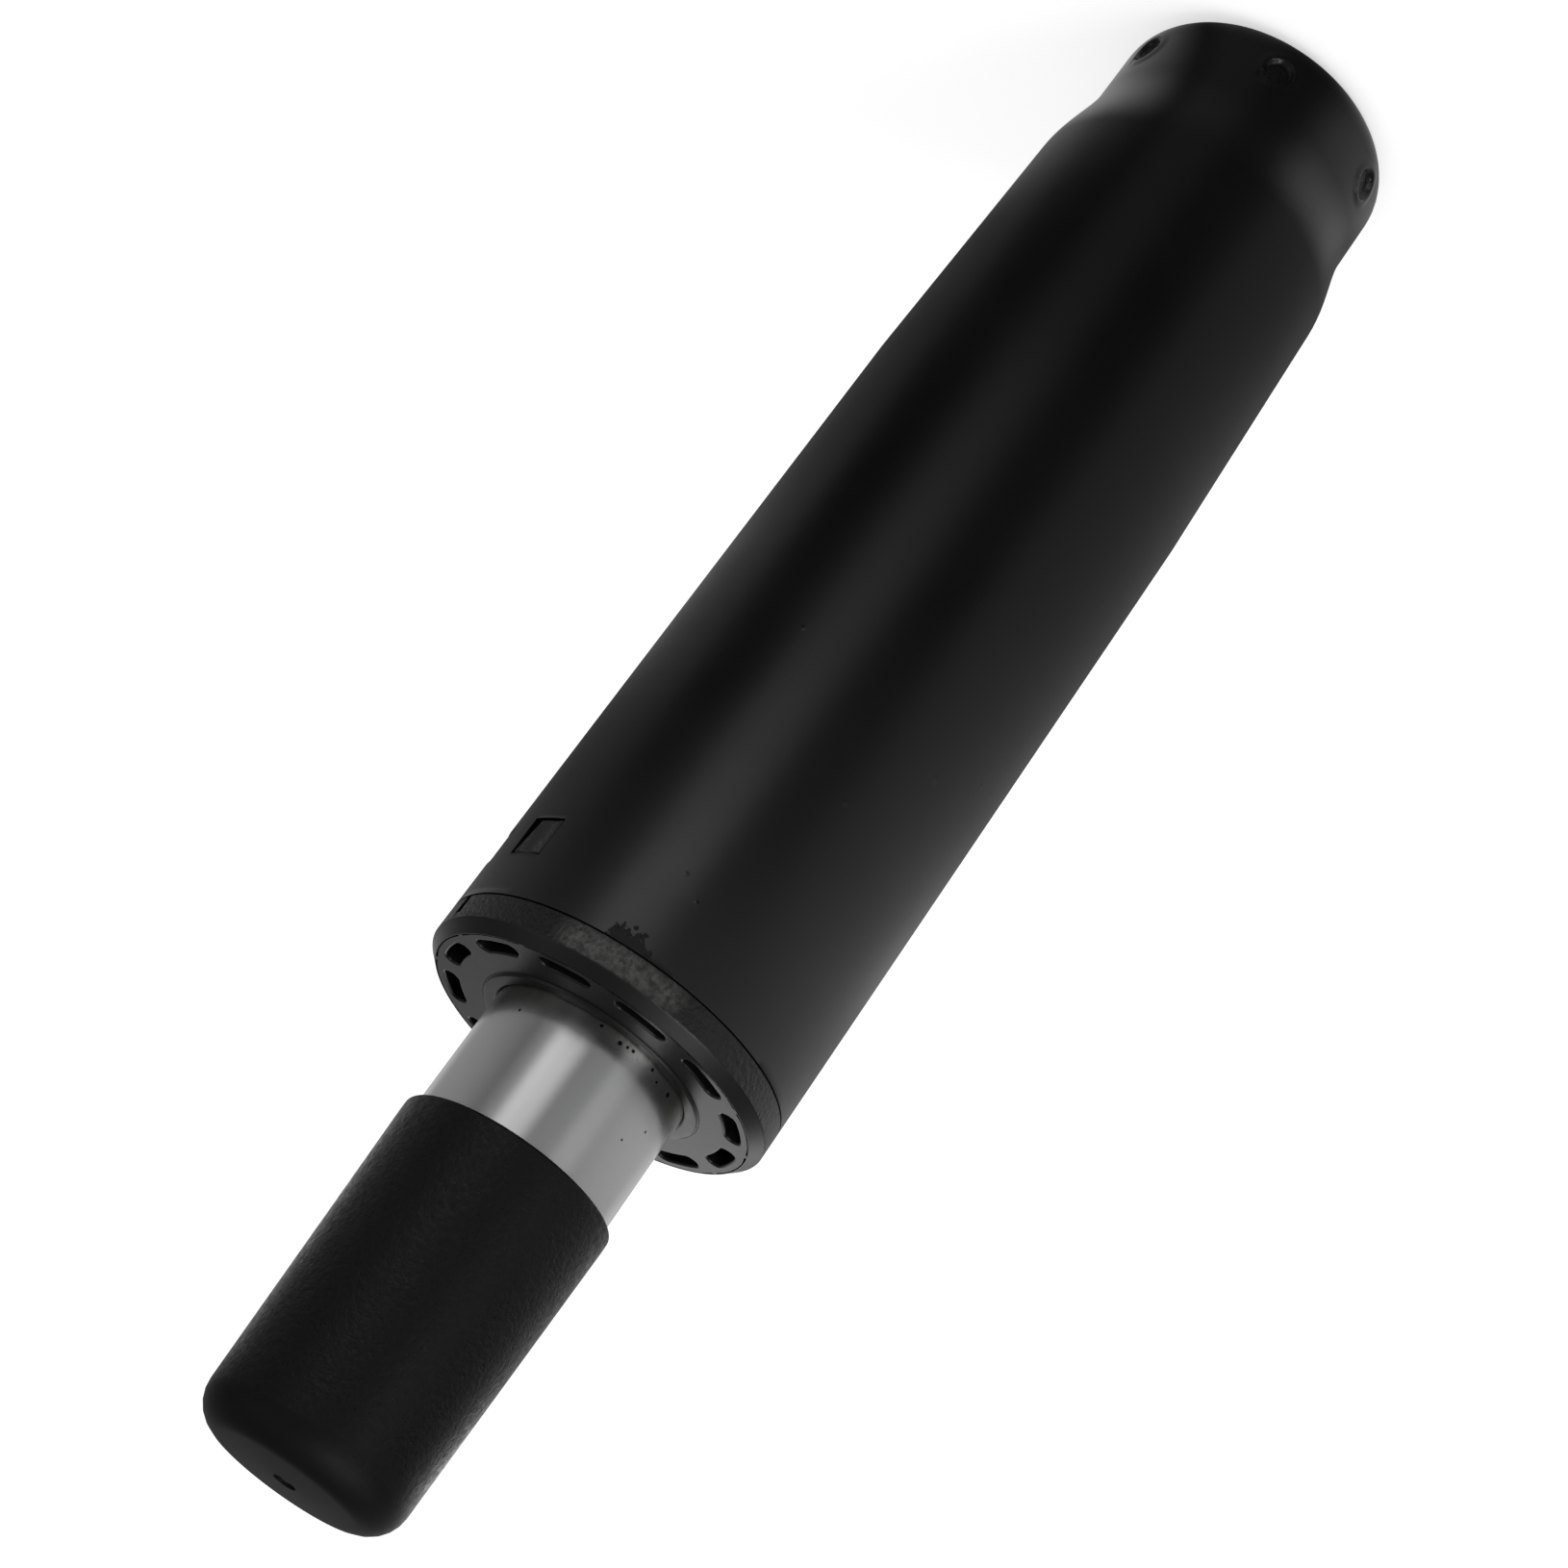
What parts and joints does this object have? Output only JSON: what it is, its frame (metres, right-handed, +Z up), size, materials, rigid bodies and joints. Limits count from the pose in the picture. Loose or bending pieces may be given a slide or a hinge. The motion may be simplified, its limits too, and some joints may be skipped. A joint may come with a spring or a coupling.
{
  "type": "chair gas lift cylinder",
  "caption": "Gas lift column for a swivel chair: painted tapered tube, slotted plastic guide bush, sliding steel barrel with a release button under a pull-off cap.",
  "frame": {"origin": "centre of the lower rim that the column stands on", "axes": "+Z up the column's axis, to the cap; -Y faces the picture's camera"},
  "size_m": [0.05, 0.05, 0.2465],
  "materials": {
    "column_paint": "satin black stoved paint on steel",
    "bushing_plastic": "black moulded polyacetal, matte",
    "ground_steel": "bright ground steel",
    "cap_plastic": "black soft polyethylene, fine matte grain",
    "zinc_plated_steel": "zinc plated pressed steel",
    "hardened_steel": "hardened and ground steel",
    "bearing_steel": "polished bearing steel",
    "cage_plastic": "natural moulded nylon",
    "rod_steel": "hard chromed ground steel",
    "spring_steel": "oiled black spring steel",
    "bumper_rubber": "black moulded rubber",
    "seal_rubber": "black nitrile rubber",
    "piston_alloy": "turned aluminium",
    "slide_plastic": "low friction plastic",
    "bearing_bronze": "sintered bronze",
    "inner_tube_steel": "drawn thin steel tube",
    "valve_brass": "turned brass",
    "pin_steel": "turned stainless steel"
  },
  "bodies": {
    "column": {"stand_tube": "column_paint", "guide_bushing": "bushing_plastic", "base_plate": "zinc_plated_steel", "lower_bearing_race": "hardened_steel"},
    "bearing": {"ball_cage": "cage_plastic", "bearing_balls": "bearing_steel"},
    "rod": {"piston_rod": "rod_steel", "upper_bearing_race": "hardened_steel", "rubber_bumper": "bumper_rubber", "bumper_washer": "zinc_plated_steel", "rod_end_washer": "zinc_plated_steel", "retaining_clip": "spring_steel", "piston_support_washer": "zinc_plated_steel", "piston_body": "piston_alloy", "piston_o_ring": "seal_rubber", "piston_guide_ring": "slide_plastic", "piston_top_washer": "zinc_plated_steel", "piston_nut": "zinc_plated_steel"},
    "cylinder": {"pressure_tube": "ground_steel", "tube_end_washer": "zinc_plated_steel", "rod_guide": "bearing_bronze", "rod_seal": "seal_rubber", "seal_spacer": "slide_plastic", "inner_tube": "inner_tube_steel", "valve_body": "valve_brass", "valve_outer_o_ring": "seal_rubber", "valve_spigot_o_ring": "seal_rubber", "valve_pin_o_ring": "seal_rubber", "valve_seat_ring": "seal_rubber", "button_guide": "zinc_plated_steel"},
    "release_pin": {"valve_pin": "pin_steel", "release_button": "pin_steel"},
    "cap": {"protective_cap": "cap_plastic"}
  },
  "joints": [
    {"name": "swivel", "type": "hinge", "parent": "column", "child": "rod", "pos_m": [0, 0, 0.0104], "axis": [0, 0, 1], "continuous": true},
    {"name": "bearing_roll", "type": "hinge", "parent": "column", "child": "bearing", "pos_m": [0, 0, 0.0104], "axis": [0, 0, 1], "continuous": true},
    {"name": "height_slide", "type": "slide", "parent": "rod", "child": "cylinder", "axis": [0, 0, 1], "range_m": [0, 0.08]},
    {"name": "release_press", "type": "slide", "parent": "cylinder", "child": "release_pin", "axis": [0, 0, 1], "range_m": [-0.0035, 0], "stiffness_N_per_m": 3000},
    {"name": "cap_pull", "type": "slide", "parent": "cylinder", "child": "cap", "axis": [0, 0, 1], "range_m": [0, 0.05]}
  ],
  "couplings": [
    {"joint": "bearing_roll", "follows": "swivel", "ratio": 0.5}
  ]
}
